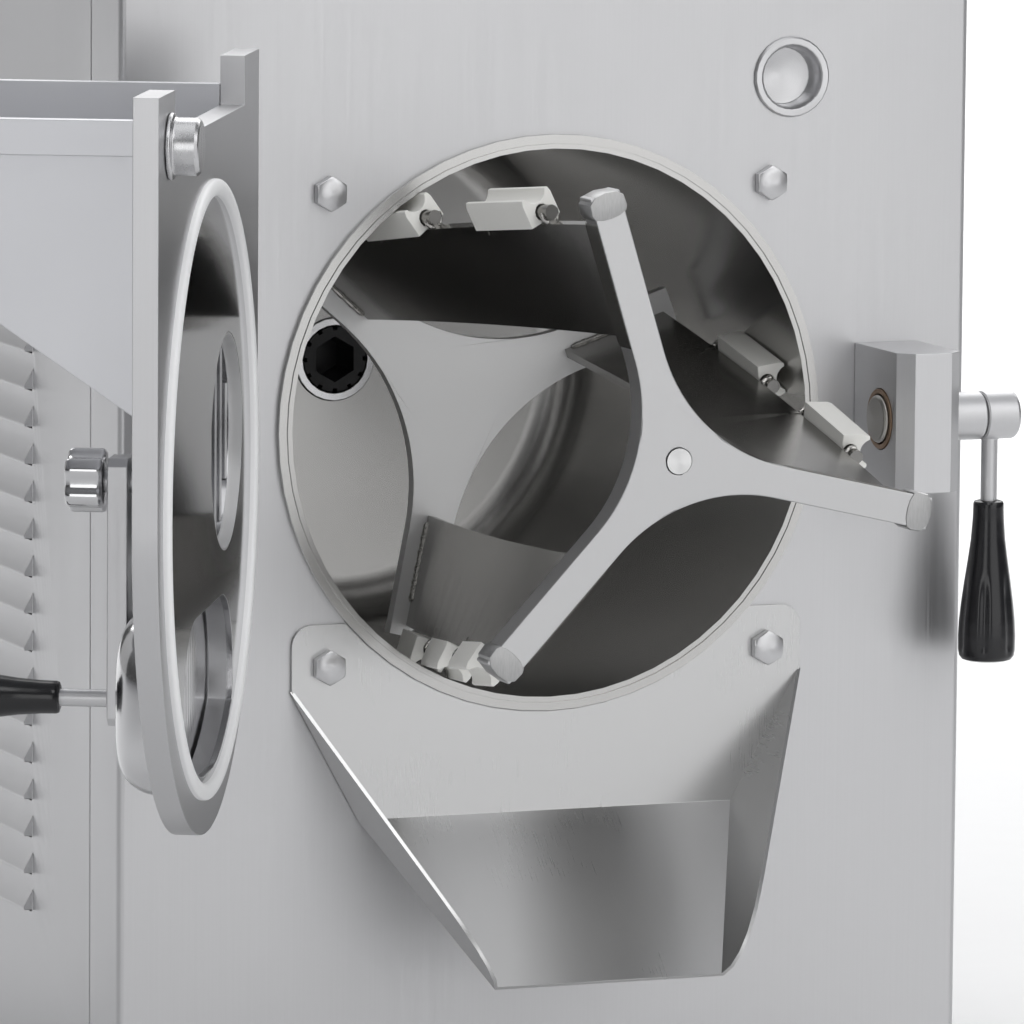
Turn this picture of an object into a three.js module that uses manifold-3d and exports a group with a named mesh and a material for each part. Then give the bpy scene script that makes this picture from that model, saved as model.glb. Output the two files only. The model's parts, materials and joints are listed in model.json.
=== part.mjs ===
// Horizontal batch freezer with its door open and its dasher drawn out for cleaning.
// Millimetres, +Z up, +X to the right of someone facing the front, +Y into the machine.
// The origin is the middle of the underside of the part's box, with the door open.
import * as THREE from "three";
import { mergeVertices } from "three/addons/utils/BufferGeometryUtils.js";
import { ConvexGeometry } from "three/addons/geometries/ConvexGeometry.js";
import Module from "manifold-3d";

const wasm = await Module();
wasm.setup();

// ---------------------------------------------------------------- driving dimensions

// Clearances
const gap = 0.3; // between faces that touch
const runClearance = 0.6; // on the radius, between turning or sliding pieces

// Cabinet
const cabinetWidth = 500;
const cabinetDepth = 560;
const cabinetHeight = 630;
const sheet = 2;
const cornerRadius = 4;
const frontReturn = 48; // how far the front panel wraps round each side
const seam = 2; // open joint between front panel and side panel
const trayLip = 22;
const footRadius = 21;
const footHeight = 30;
const footInset = 60;

// Louvres of the side panels
const louvreCount = 16;
const louvrePitch = 21;
const louvreHood = 12;
const louvreProud = 5;
const louvreLength = 190;
const louvreFront = 150;
const louvreTop = 44; // top edge of the highest hood, from the bore's axis

// Freezing cylinder, on the bore's axis
const rimHeight = 370; // bore axis above the base pan
const boreRadius = 152;
const boreDepth = 346;
const lipWidth = 3.3;
const bandWidth = 4.4;
const rimProud = 4;
const rearWall = 4;
const cylinderWall = 3;
const boreFillet = 24;
const rearBevel = 13; // outside, behind that fillet
const grooveDepth = 1.2;
const grooveWidth = 0.7;
const portRadius = 25;

// Panel bolts
const boltAcrossFlats = 17;
const boltHead = 5.4;
const boltShank = 5;
const boltLength = 20;
const boltInset = 22;
const boltPlace = boreRadius - boltInset; // corners of a square round the bore's axis

// Locating cup in the panel and stud on the door
const studX = boreRadius - 9.6;
const studZ = boreRadius + 36.4;
const cupFlangeRadius = 22.5;
const cupRadius = 16.8;
const cupDepth = 16;
const studRadius = 14.5;
const studFlangeRadius = 17;
const studLength = 16;

// Discharge chute
const chuteSheet = 2;
const chuteHalfWidth = boreRadius - 1;
const chuteRise = 45.5; // its top edge above the bottom of the bore
const chuteTop = chuteRise - boreRadius;
const chuteShoulder = chuteTop - 36;
const chuteCreaseHalfWidth = 110.5;
const chuteCrease = chuteShoulder - 73.5;
const chuteLipHalfWidth = 67;
const chuteLipReach = 97;
const chuteLip = chuteCrease - 80;
const chuteWallReach = 110;
const chuteCornerRadius = 12;

// Door
const doorOpenAngle = 117.5;
const doorThickness = 13;
const gasketHeight = 4;
const gasketWidth = 8.6;
const gasketInner = boreRadius - 0.6;
const gasketOuter = gasketInner + gasketWidth;
const doorRim = 18; // of the plate, outside the gasket
const doorHalfWidth = gasketOuter + doorRim;
const doorTop = studZ + 26.6;
const notchHalfWidth = studX - 18.4;
const notchFloor = gasketOuter + 29;
const hingeX = -(doorHalfWidth + 28.2);
const hingeY = -34.4;
const hingeZ = 112;
const hingePinRadius = 5;
const knuckleRadius = 12;
const knuckleHeight = 40;
const hingeEar = 9;
const feedX = -62;
const feedZ = 18;
const feedRadius = 57;
const outletZ = -104;
const outletHalfWidth = 88;
const outletHalfHeight = 43;
const outletLimitRadius = boreRadius - 4;

// Hopper on the door
const hopperHalfWidth = 125;
const hopperReach = 178;
const hopperFloorAtDoor = 46;
const hopperFloorAtFront = 166;
const hopperTop = 184;
const hopperSheet = 2;
const hopperRimHeight = 16;
const hopperRimWidth = 9;
const throatDepth = 26;
const throatSheet = 2;
const gridBars = 6;
const gridBarRadius = 1.8;

// Outlet gate on the door
const gatePivotX = 6;
const gatePivotZ = 4;
const gateHalfWidth = 94;
const gateHalfHeight = 50;
const gateCrown = 26;
const gateRibs = 10;
const gateRibDepth = 2.5;
const gateArmWidth = 26;
const gateArmThickness = 11;
const armTail = 126; // length of the arm below its pivot
const armHead = 13;
const knobRadius = 17;
const knobLength = 20;
const knobLobes = 5;
const pivotRadius = 6;
const gateHandleZ = -109;

// Grips
const gripLength = 90;
const gripTopRadius = 8.5;
const gripRadius = 16;
const rodRadius = 4.6;

// Latch
const latchLeft = doorHalfWidth + 5;
const latchWidth = 38;
const latchDepth = 66;
const latchHalfHeight = 39;
const latchChamfer = 8;
const latchAxisY = -36;
const bushingRadius = 16.8;
const pinRadius = 13.5;
const pinProud = 3;
const leverRodX = latchLeft + latchWidth + 29;
const leverShaftRight = leverRodX + 14;
const leverGripTop = -48;
const leverGroove = 1;

// Dasher
const dasherTravel = 190; // how far it is drawn out
const dasherHome = 2; // its front face from the panel when it is home
const dasherRearGap = 4; // to the rear wall when it is home
const dasherLength = boreDepth - dasherHome - dasherRearGap;
const dasherTwist = 32; // degrees, front to rear
const dasherFirstArm = 107; // degrees from +X towards +Z
const spiderRadius = boreRadius - 2;
const rearSpiderRadius = boreRadius - 12; // short of the fillet round the rear wall
const frontArmWidth = 17.5;
const frontSpiderThickness = 16;
const frontWebRadius = 24.5; // from the centre to the hollow between two arms
const rearArmWidth = 26;
const rearSpiderThickness = 8;
const rearWebRadius = 34;
const hubPlugRadius = 7;
const hubPlugDepth = 3;
const stubAcrossFlats = 22;
const stubLength = 30;
const bladeInner = 70;
const bladeOuter = boreRadius - 18.4;
const bladeThickness = 5;
const bladeSteps = 14;
const scraperStarts = [
  [62, 176],
  [92, 208],
  [50, 142, 240],
]; // from the dasher's front face, blade by blade
const scraperLength = 56;
const scraperBase = bladeOuter + 0.8;
const scraperTip = boreRadius - 1.4;
const scraperHalfWidth = 10;
const scraperHollow = 5;
const studBarRadius = 4;
const studBarCentre = boreRadius - 12.4;
const studBarFront = 9;
const studBarRear = 6;

// Drive
const couplingRadius = 19.5;
const shaftRadius = 15;
const housingRadius = 58;
const housingLength = 84;
const collarProud = 2; // of the bearing housing's collar, inside the cylinder
const couplingProud = 1.5;
const socketDepth = 24; // behind the rear wall
const pulleyWidth = 26;
const drivenPulleyRadius = 72;
const motorPulleyRadius = 30;
const beltWidth = 20;
const beltThickness = 6;
const motorX = 120;
const motorZ = -282;
const motorRadius = 56;
const motorLength = 170;
const compressorRadius = 66;
const compressorHeight = 138;
const insulation = 30;

// ---------------------------------------------------------------- places worked out from them

const left = -cabinetWidth / 2;
const right = cabinetWidth / 2;
const bottom = -rimHeight;
const top = cabinetHeight - rimHeight;
const rimOuter = boreRadius + lipWidth + bandWidth;
const doorInner = -(rimProud + gap + gasketHeight); // door plate faces with the door shut
const doorOuter = doorInner - doorThickness;
const gateFace = doorOuter - runClearance; // gate's flat face, against the outlet
const armInner = gateFace - gateCrown; // face of the gate's arm towards the door
const dasherFront = dasherHome - dasherTravel;
const dasherRear = dasherFront + dasherLength;
const cylinderRear = boreDepth + rearWall;
const pulleyFront = cylinderRear + housingLength + 20;

// ---------------------------------------------------------------- helpers

const material = (color, roughness, metalness) =>
  new THREE.MeshStandardMaterial({ color, roughness, metalness });

const brushed = material(0xc3c4c6, 0.42, 0.9);
const polished = material(0xa9abad, 0.18, 1);
const satin = material(0xb9babc, 0.5, 0.85);
const darkSteel = material(0x6c6d6f, 0.35, 0.9);
const blackPlastic = material(0x101113, 0.35, 0);
const whitePlastic = material(0xeeece6, 0.5, 0);
const whiteRubber = material(0xf2f3f4, 0.55, 0);
const bronze = material(0x8a6a4a, 0.45, 0.8);
const foam = material(0x1f2022, 0.9, 0);
const blackRubber = material(0x17181a, 0.8, 0);
const paintedBlack = material(0x222426, 0.5, 0.2);
const aluminium = material(0xb4b7ba, 0.45, 0.9);
const castGrey = material(0x777a7d, 0.6, 0.5);

// A geometry with only shared positions, ready for joining and cutting.
function closed(geometry) {
  const plain = geometry.index ? geometry.toNonIndexed() : geometry.clone();
  plain.deleteAttribute("normal");
  plain.deleteAttribute("uv");
  return mergeVertices(plain, 1e-3);
}

function solid(geometry) {
  const merged = closed(geometry);
  return new wasm.Manifold(
    new wasm.Mesh({
      numProp: 3,
      vertProperties: merged.attributes.position.array,
      triVerts: new Uint32Array(merged.index.array),
    }),
  );
}

function geometryOf(body) {
  const mesh = body.getMesh();
  const geometry = new THREE.BufferGeometry();
  geometry.setAttribute("position", new THREE.BufferAttribute(mesh.vertProperties, 3));
  geometry.setIndex(new THREE.BufferAttribute(mesh.triVerts, 1));
  geometry.computeVertexNormals();
  return geometry;
}

const join = (first, ...others) =>
  geometryOf(others.reduce((whole, next) => whole.add(solid(next)), solid(first)));
const cut = (first, ...others) =>
  geometryOf(others.reduce((whole, next) => whole.subtract(solid(next)), solid(first)));
const common = (first, second) => geometryOf(solid(first).intersect(solid(second)));

function outline(points) {
  return new THREE.Shape(points.map(([x, y]) => new THREE.Vector2(x, y)));
}

const extrude = (shape, depth, curveSegments = 12) =>
  new THREE.ExtrudeGeometry(shape, { depth, bevelEnabled: false, curveSegments });

// A shape of X and Z, from one depth Y to another.
const slabY = (shape, from, to, curveSegments) =>
  extrude(shape, to - from, curveSegments).rotateX(Math.PI / 2).translate(0, to, 0);

// A shape of X and Y, from one height Z to another.
const slabZ = (shape, from, to, curveSegments) =>
  extrude(shape, to - from, curveSegments).translate(0, 0, from);

// A shape of Y and Z, from one X to another.
function slabX(shape, from, to, curveSegments) {
  const turn = new THREE.Matrix4().makeBasis(
    new THREE.Vector3(0, 1, 0),
    new THREE.Vector3(0, 0, 1),
    new THREE.Vector3(1, 0, 0),
  );
  return extrude(shape, to - from, curveSegments).applyMatrix4(turn).translate(from, 0, 0);
}

const box = (x0, x1, y0, y1, z0, z1) =>
  new THREE.BoxGeometry(x1 - x0, y1 - y0, z1 - z0).translate(
    (x0 + x1) / 2,
    (y0 + y1) / 2,
    (z0 + z1) / 2,
  );

// Turned pieces: a profile of [radius, place along the axis], anticlockwise, round each axis.
const turnedY = (profile, segments) =>
  new THREE.LatheGeometry(
    profile.map(([radius, along]) => new THREE.Vector2(radius, along)),
    segments,
  );
const turnedX = (profile, segments) => turnedY(profile, segments).rotateZ(-Math.PI / 2);
const turnedZ = (profile, segments) => turnedY(profile, segments).rotateX(Math.PI / 2);

const rod = (radius, from, to) => [
  [0, from],
  [radius, from],
  [radius, to],
  [0, to],
];
const ring = (inner, outer, from, to) => [
  [inner, from],
  [outer, from],
  [outer, to],
  [inner, to],
  [inner, from],
];

function rectangle(x0, x1, y0, y1) {
  return outline([
    [x0, y0],
    [x1, y0],
    [x1, y1],
    [x0, y1],
  ]);
}

function circle(x, y, radius) {
  return new THREE.Shape().absarc(x, y, radius, 0, 2 * Math.PI, false);
}

// A bar with round ends, flat on top and bottom.
function obround(x, y, halfWidth, halfHeight) {
  const straight = halfWidth - halfHeight;
  return new THREE.Shape()
    .absarc(x + straight, y, halfHeight, -Math.PI / 2, Math.PI / 2, false)
    .absarc(x - straight, y, halfHeight, Math.PI / 2, (3 * Math.PI) / 2, false);
}

function roundedRectangle(x0, x1, y0, y1, radius) {
  return new THREE.Shape()
    .absarc(x1 - radius, y0 + radius, radius, -Math.PI / 2, 0, false)
    .absarc(x1 - radius, y1 - radius, radius, 0, Math.PI / 2, false)
    .absarc(x0 + radius, y1 - radius, radius, Math.PI / 2, Math.PI, false)
    .absarc(x0 + radius, y0 + radius, radius, Math.PI, (3 * Math.PI) / 2, false);
}

// A flat sheet through the given corners, half its thickness to each side.
function flatSheet(corners, thickness) {
  const points = corners.map((corner) => new THREE.Vector3(...corner));
  const normal = new THREE.Vector3()
    .crossVectors(
      new THREE.Vector3().subVectors(points[1], points[0]),
      new THREE.Vector3().subVectors(points[2], points[0]),
    )
    .normalize()
    .multiplyScalar(thickness / 2);
  const faces = points.flatMap((point) => [
    point.clone().add(normal),
    point.clone().sub(normal),
  ]);
  return new ConvexGeometry(faces);
}

function hexagon(acrossFlats) {
  const radius = acrossFlats / Math.sqrt(3);
  const points = [];
  for (let corner = 0; corner < 6; corner += 1) {
    const angle = (corner * Math.PI) / 3 + Math.PI / 6;
    points.push([radius * Math.cos(angle), radius * Math.sin(angle)]);
  }
  return outline(points);
}

function named(name, geometry, look) {
  const mesh = new THREE.Mesh(geometry, look);
  mesh.name = name;
  return mesh;
}

function placed(group, x, y, z) {
  group.position.set(x, y, z);
  return group;
}

const radians = THREE.MathUtils.degToRad;

// ---------------------------------------------------------------- cabinet

const boltCorners = [
  ["upper_left", -boltPlace, boltPlace],
  ["upper_right", boltPlace, boltPlace],
  ["lower_left", -boltPlace, -boltPlace],
  ["lower_right", boltPlace, -boltPlace],
];

function frontPanel() {
  const low = bottom + sheet + gap;
  const high = top - sheet - gap;
  const wrap = new THREE.Shape()
    .absarc(right - cornerRadius, cornerRadius, cornerRadius, -Math.PI / 2, 0, false)
    .lineTo(right, frontReturn)
    .lineTo(left, frontReturn)
    .absarc(left + cornerRadius, cornerRadius, cornerRadius, Math.PI, (3 * Math.PI) / 2, false);
  const hollow = box(left + sheet, right - sheet, sheet, frontReturn + sheet, low - 1, high + 1);
  const through = (x, z, radius, segments) =>
    slabY(circle(x, z, radius), -1, sheet + 1, segments);
  const boltHoles = boltCorners.map(([, x, z]) => through(x, z, boltShank + gap, 6));
  return cut(
    slabZ(wrap, low, high, 5),
    hollow,
    through(0, 0, boreRadius + cylinderWall + gap, 30),
    through(studX, studZ, cupRadius + sheet + gap, 16),
    ...boltHoles,
  );
}

// The hood is pressed out of the panel and open underneath.
function sidePanel(side) {
  const front = frontReturn + seam;
  const back = cabinetDepth - sheet - gap;
  const low = bottom + sheet + gap;
  const high = top - sheet - gap;
  const inner = side * (right - sheet);
  const outer = side * right;
  const xs = [inner, outer].sort((a, b) => a - b);
  const hoods = [];
  const mouths = [];
  for (let i = 0; i < louvreCount; i += 1) {
    const upper = louvreTop - i * louvrePitch;
    const lower = upper - louvreHood;
    const bulge = outline([
      [outer, upper],
      [outer + side * louvreProud, lower + 2],
      [outer + side * louvreProud, lower],
      [outer - side * sheet, lower],
      [outer - side * sheet, upper],
    ]);
    const mouth = outline([
      [outer - side * (sheet + 1), upper - sheet - 1],
      [outer + side * (louvreProud - 1.2), lower + 1],
      [outer + side * (louvreProud - 1.2), lower - 1],
      [outer - side * (sheet + 1), lower - 1],
    ]);
    hoods.push(slabY(bulge, louvreFront, louvreFront + louvreLength));
    mouths.push(slabY(mouth, louvreFront + 2, louvreFront + louvreLength - 2));
  }
  const panel = join(box(xs[0], xs[1], front, back, low, high), ...hoods);
  return cut(panel, ...mouths);
}

function rearPanel() {
  const vents = [];
  for (let row = 0; row < 6; row += 1) {
    const z = top - 110 - row * 18;
    vents.push(box(-110, 110, cabinetDepth - sheet - 1, cabinetDepth + 1, z, z + 6));
  }
  const plate = box(
    left,
    right,
    cabinetDepth - sheet,
    cabinetDepth,
    bottom + sheet + gap,
    top - sheet - gap,
  );
  return cut(plate, ...vents, slabY(circle(-190, bottom + 60, 11), cabinetDepth - 9, cabinetDepth + 9, 6));
}

function topCover() {
  const plate = slabZ(roundedRectangle(left, right, 0, cabinetDepth, cornerRadius), top - sheet, top, 4);
  const inset = sheet + gap;
  const lip = slabZ(
    rectangle(left + inset, right - inset, inset, cabinetDepth - inset),
    top - trayLip,
    top - sheet / 2,
  );
  const hollow = box(
    left + inset + sheet,
    right - inset - sheet,
    inset + sheet,
    cabinetDepth - inset - sheet,
    top - trayLip - 1,
    top - sheet,
  );
  return cut(join(plate, lip), hollow);
}

function basePan() {
  const plate = slabZ(
    roundedRectangle(left, right, 0, cabinetDepth, cornerRadius),
    bottom,
    bottom + sheet,
    4,
  );
  const inset = sheet + gap;
  const lip = slabZ(
    rectangle(left + inset, right - inset, inset, cabinetDepth - inset),
    bottom + sheet / 2,
    bottom + trayLip,
  );
  const hollow = box(
    left + inset + sheet,
    right - inset - sheet,
    inset + sheet,
    cabinetDepth - inset - sheet,
    bottom + sheet,
    bottom + trayLip + 1,
  );
  return cut(join(plate, lip), hollow);
}

function foot() {
  return turnedZ(
    [
      [0, -footHeight],
      [footRadius - 2, -footHeight],
      [footRadius, -footHeight + 2],
      [footRadius - 4, -gap],
      [0, -gap],
    ],
    20,
  );
}

function cableGland() {
  return turnedY(
    [
      [3.5, cabinetDepth - 14],
      [10.5, cabinetDepth - 14],
      [10.5, cabinetDepth + gap],
      [15, cabinetDepth + gap],
      [15, cabinetDepth + 8],
      [8, cabinetDepth + 22],
      [3.5, cabinetDepth + 22],
      [3.5, cabinetDepth - 14],
    ],
    14,
  ).translate(-190, 0, bottom + 60);
}

// ---------------------------------------------------------------- freezing cylinder

function freezingCylinder() {
  const lipOuter = boreRadius + lipWidth;
  const tube = boreRadius + cylinderWall;
  const fillet = [];
  for (let step = 0; step <= 3; step += 1) {
    const angle = (step / 3) * (Math.PI / 2);
    fillet.push([
      boreRadius - boreFillet + boreFillet * Math.cos(angle),
      boreDepth - boreFillet + boreFillet * Math.sin(angle),
    ]);
  }
  const profile = [
    [portRadius, cylinderRear],
    [portRadius, boreDepth],
    ...fillet.reverse(),
    [boreRadius, -rimProud],
    [lipOuter - grooveWidth, -rimProud],
    [lipOuter - grooveWidth, -rimProud + grooveDepth],
    [lipOuter, -rimProud + grooveDepth],
    [lipOuter, -rimProud],
    [rimOuter, -rimProud],
    [rimOuter, -gap],
    [tube, -gap],
    [tube, cylinderRear - rearBevel],
    [tube - rearBevel, cylinderRear],
    [portRadius, cylinderRear],
  ];
  return turnedY(profile, 60);
}

function insulationJacket() {
  const inner = boreRadius + cylinderWall + 1;
  return turnedY(ring(inner, inner + insulation, boltLength + 4, boreDepth - boreFillet), 40);
}

// A collar in the rear wall that carries the shaft's bearings and its face seal.
function bearingHousing() {
  const mouth = couplingRadius + runClearance;
  return turnedY(
    [
      [mouth, boreDepth - collarProud],
      [portRadius - gap, boreDepth - collarProud],
      [portRadius - gap, cylinderRear + gap],
      [housingRadius, cylinderRear + gap],
      [housingRadius, cylinderRear + 10],
      [housingRadius - 18, cylinderRear + 16],
      [housingRadius - 18, cylinderRear + housingLength],
      [shaftRadius + runClearance, cylinderRear + housingLength],
      [shaftRadius + runClearance, cylinderRear + 34],
      [mouth, cylinderRear + 34],
      [mouth, boreDepth - collarProud],
    ],
    24,
  );
}

// ---------------------------------------------------------------- drive

// Black splined socket that takes the dasher's hexagonal stub.
function driveCoupling() {
  const front = boreDepth - couplingProud;
  const hole = hexagon(stubAcrossFlats + 2 * runClearance);
  const socket = slabY(hole, front - 1, cylinderRear + socketDepth);
  const body = turnedY(rod(couplingRadius, front, cylinderRear + 32), 24);
  const grooves = [];
  for (let i = 0; i < 12; i += 1) {
    const groove = box(couplingRadius - 2, couplingRadius + 3, front - 1, front + 7, -1.2, 1.2);
    grooves.push(groove.rotateY((i * Math.PI) / 6));
  }
  return cut(body, socket, ...grooves);
}

function driveShaft() {
  return turnedY(
    [
      [0, cylinderRear + 32 + gap],
      [couplingRadius - 3, cylinderRear + 32 + gap],
      [couplingRadius - 3, cylinderRear + 33.5],
      [shaftRadius, cylinderRear + 33.5],
      [shaftRadius, pulleyFront - 3],
      [shaftRadius - 3, pulleyFront - 3],
      [shaftRadius - 3, pulleyFront + pulleyWidth + 8],
      [0, pulleyFront + pulleyWidth + 8],
    ],
    24,
  );
}

function pulley(radius, bore, segments) {
  const flange = radius + beltThickness + 2;
  return turnedY(
    [
      [bore + gap, 0],
      [flange, 0],
      [flange, 2],
      [radius, 2],
      [radius, pulleyWidth - 2],
      [flange, pulleyWidth - 2],
      [flange, pulleyWidth],
      [bore + gap, pulleyWidth],
      [bore + gap, 0],
    ],
    segments,
  ).translate(0, pulleyFront, 0);
}

// An open belt round both pulleys: two arcs and the two common tangents.
function driveBelt() {
  const loop = (extra) => {
    const big = drivenPulleyRadius + extra;
    const small = motorPulleyRadius + extra;
    const distance = Math.hypot(motorX, motorZ);
    const heading = Math.atan2(motorZ, motorX);
    const spread = Math.acos((big - small) / distance);
    return new THREE.Shape()
      .absarc(0, 0, big, heading + spread, heading - spread + 2 * Math.PI, false)
      .absarc(motorX, motorZ, small, heading - spread, heading + spread, false);
  };
  const from = pulleyFront + (pulleyWidth - beltWidth) / 2;
  return cut(
    slabY(loop(gap + beltThickness), from, from + beltWidth, 10),
    slabY(loop(gap), from - 1, from + beltWidth + 1, 10),
  );
}

function driveMotor() {
  const back = pulleyFront - 14;
  const shell = turnedY(
    [
      [0, back - motorLength],
      [motorRadius - 10, back - motorLength],
      [motorRadius, back - motorLength + 12],
      [motorRadius, back - 14],
      [motorRadius - 14, back],
      [14, back],
      [14, back + 8],
      [0, back + 8],
    ],
    24,
  );
  const base = box(-40, 40, back - motorLength + 30, back - 30, bottom + sheet + gap - motorZ, -30);
  return join(shell, base);
}

function motorPulley() {
  const start = pulleyFront - 14 + 8 + 2;
  const wheel = pulley(motorPulleyRadius, 7, 24);
  const hub = turnedY(rod(8, start, pulleyFront + pulleyWidth + 2), 16);
  return join(wheel, hub);
}

function compressor() {
  const low = bottom + sheet + gap;
  return turnedZ(
    [
      [0, low],
      [compressorRadius, low],
      [compressorRadius, low + 8],
      [compressorRadius - 8, low + 12],
      [compressorRadius - 4, low + 60],
      [compressorRadius - 4, low + 90],
      [compressorRadius - 22, low + compressorHeight - 10],
      [0, low + compressorHeight],
    ],
    24,
  ).translate(-110, 330, 0);
}

function condenser() {
  const low = bottom + sheet + gap;
  const fins = [];
  for (let i = 0; i < 7; i += 1) {
    const y = 96 + i * 18;
    fins.push(box(left + 16, left + 46, y, y + 3, low, low + 150));
  }
  const spine = box(left + 24, left + 38, 90, 217, low, low + 150);
  return join(spine, ...fins);
}

// ---------------------------------------------------------------- chute

const chuteTaper = (chuteHalfWidth - chuteCreaseHalfWidth) / (chuteShoulder - chuteCrease);

// The wall leans in below the shoulder: its half width at a height.
const chuteWallX = (z) => chuteHalfWidth - chuteTaper * (chuteShoulder - z);

function chute() {
  const back = -gap - chuteSheet;
  const middle = back + chuteSheet / 2;
  const corner = chuteCornerRadius;
  const plate = new THREE.Shape()
    .moveTo(-chuteCreaseHalfWidth, chuteCrease)
    .lineTo(chuteCreaseHalfWidth, chuteCrease)
    .lineTo(chuteHalfWidth, chuteShoulder)
    .lineTo(chuteHalfWidth, chuteTop - corner)
    .absarc(chuteHalfWidth - corner, chuteTop - corner, corner, 0, Math.PI / 2, false)
    .absarc(corner - chuteHalfWidth, chuteTop - corner, corner, Math.PI / 2, Math.PI, false)
    .lineTo(-chuteHalfWidth, chuteShoulder);
  const holes = boltCorners
    .filter(([, , z]) => z < 0)
    .map(([, x, z]) => slabY(circle(x, z, boltShank + gap), back - 1, 0, 8));
  const rimCut = slabY(circle(0, 0, rimOuter + 2 * gap), back - 1, 0, 30);
  const backPlate = cut(slabY(plate, back, -gap, 4), rimCut, ...holes);
  const floor = flatSheet(
    [
      [-chuteCreaseHalfWidth, middle, chuteCrease],
      [chuteCreaseHalfWidth, middle, chuteCrease],
      [chuteLipHalfWidth, -chuteLipReach, chuteLip],
      [-chuteLipHalfWidth, -chuteLipReach, chuteLip],
    ],
    chuteSheet,
  );
  const walls = [-1, 1].map((side) => {
    // The free edge bulges forward and turns under to the floor's end.
    const edge = new THREE.QuadraticBezierCurve(
      new THREE.Vector2(-70, chuteShoulder - 85),
      new THREE.Vector2(-chuteWallReach - 12, chuteShoulder - 140),
      new THREE.Vector2(-chuteLipReach, chuteLip),
    ).getPoints(6);
    const corners = [
      [middle, chuteShoulder],
      ...edge.map((point) => [point.x, point.y]),
      [middle, chuteCrease],
    ].map(([y, z]) => [side * chuteWallX(z), y, z]);
    return flatSheet(corners, chuteSheet);
  });
  return join(backPlate, floor, ...walls);
}

// ---------------------------------------------------------------- fasteners and cup

function hexBolt(seat) {
  const head = slabY(hexagon(boltAcrossFlats), seat - boltHead, seat);
  const chamfer = turnedY(
    [
      [0, seat - boltHead],
      [boltAcrossFlats / 2 - 0.4, seat - boltHead],
      [boltAcrossFlats / 2 + 2, seat - boltHead + 1.4],
      [boltAcrossFlats / 2 + 2, seat],
      [0, seat],
    ],
    18,
  );
  const shank = turnedY(rod(boltShank, seat - 1, boltLength), 12);
  return join(common(head, chamfer), shank);
}

function flushCup() {
  return turnedY(
    [
      [0, cupDepth - 1.5],
      [cupRadius - 1, cupDepth - 4],
      [cupRadius, 0],
      [cupRadius + 1.4, -1.8 - gap],
      [cupFlangeRadius - 1, -1.8 - gap],
      [cupFlangeRadius, -1 - gap],
      [cupFlangeRadius, -gap],
      [cupRadius + sheet, -gap],
      [cupRadius + sheet, cupDepth + 2],
      [0, cupDepth + 2],
    ],
    26,
  ).translate(studX, 0, studZ);
}

// ---------------------------------------------------------------- latch

function latchBlock() {
  const rightFace = latchLeft + latchWidth;
  const section = outline([
    [latchLeft, -gap],
    [latchLeft, -latchDepth + latchChamfer],
    [latchLeft + latchChamfer, -latchDepth],
    [rightFace - latchChamfer, -latchDepth],
    [rightFace, -latchDepth + latchChamfer],
    [rightFace, -gap],
  ]);
  const bore = turnedX(rod(bushingRadius + gap, latchLeft - 1, rightFace + 1), 28);
  return cut(
    slabZ(section, -latchHalfHeight, latchHalfHeight),
    bore.translate(0, latchAxisY, 0),
  );
}

function latchBushing() {
  const inner = pinRadius + runClearance;
  return turnedX(ring(inner, bushingRadius, latchLeft - 0.8, latchLeft + latchWidth - 1), 28).translate(
    0,
    latchAxisY,
    0,
  );
}

function latchPin() {
  const face = latchLeft - pinProud;
  return turnedX(
    [
      [0, face],
      [pinRadius - 1.5, face],
      [pinRadius, face + 1.5],
      [pinRadius, latchLeft + latchWidth - 4],
      [0, latchLeft + latchWidth - 4],
    ],
    28,
  ).translate(0, latchAxisY, 0);
}

function leverShaft() {
  const start = latchLeft + latchWidth + runClearance;
  const groove = leverShaftRight - 21;
  const body = turnedX(
    [
      [0, start],
      [pinRadius, start],
      [pinRadius, groove],
      [pinRadius - leverGroove, groove],
      [pinRadius - leverGroove, groove + 1.4],
      [pinRadius, groove + 1.4],
      [pinRadius, leverShaftRight - 1.5],
      [pinRadius - 1.5, leverShaftRight],
      [0, leverShaftRight],
    ],
    28,
  );
  const stem = turnedZ(rod(rodRadius, leverGripTop - 14, -4), 12).translate(leverRodX, 0, 0);
  return join(body, stem).translate(0, latchAxisY, 0);
}

// Tapered grip, its narrow end at the given place and its body running away along -Z.
function grip() {
  const socket = rodRadius + gap;
  return turnedZ(
    [
      [0, -gripLength],
      [gripRadius - 5, -gripLength],
      [gripRadius - 1, -gripLength + 4],
      [gripRadius, -gripLength + 12],
      [gripRadius - 0.5, -gripLength + 38],
      [gripTopRadius, -1.5],
      [gripTopRadius - 1.2, 0],
      [socket, 0],
      [socket, -16],
      [0, -16],
    ],
    20,
  );
}

// ---------------------------------------------------------------- hinges

// Clevis with its pin fixed in it.
function hingeBracket() {
  const half = knuckleHeight / 2 + gap + hingeEar;
  const ear = new THREE.Shape()
    .absarc(hingeX, hingeY, knuckleRadius, Math.PI, 2 * Math.PI, false)
    .lineTo(hingeX + knuckleRadius, -gap)
    .lineTo(hingeX - knuckleRadius, -gap);
  const base = box(hingeX - 22, hingeX + 22, -8, -gap, -half - 8, half + 8);
  const mouth = box(
    hingeX - knuckleRadius - 1,
    hingeX + knuckleRadius + 1,
    hingeY - knuckleRadius - 1,
    -8,
    -half + hingeEar,
    half - hingeEar,
  );
  const pin = turnedZ(
    [
      [0, -half - 2],
      [hingePinRadius, -half - 2],
      [hingePinRadius, half - 1],
      [hingePinRadius + 3, half - 1],
      [hingePinRadius + 3, half + 3],
      [0, half + 3],
    ],
    12,
  ).translate(hingeX, hingeY, 0);
  return join(cut(join(base, slabZ(ear, -half, half, 8)), mouth), pin);
}

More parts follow.
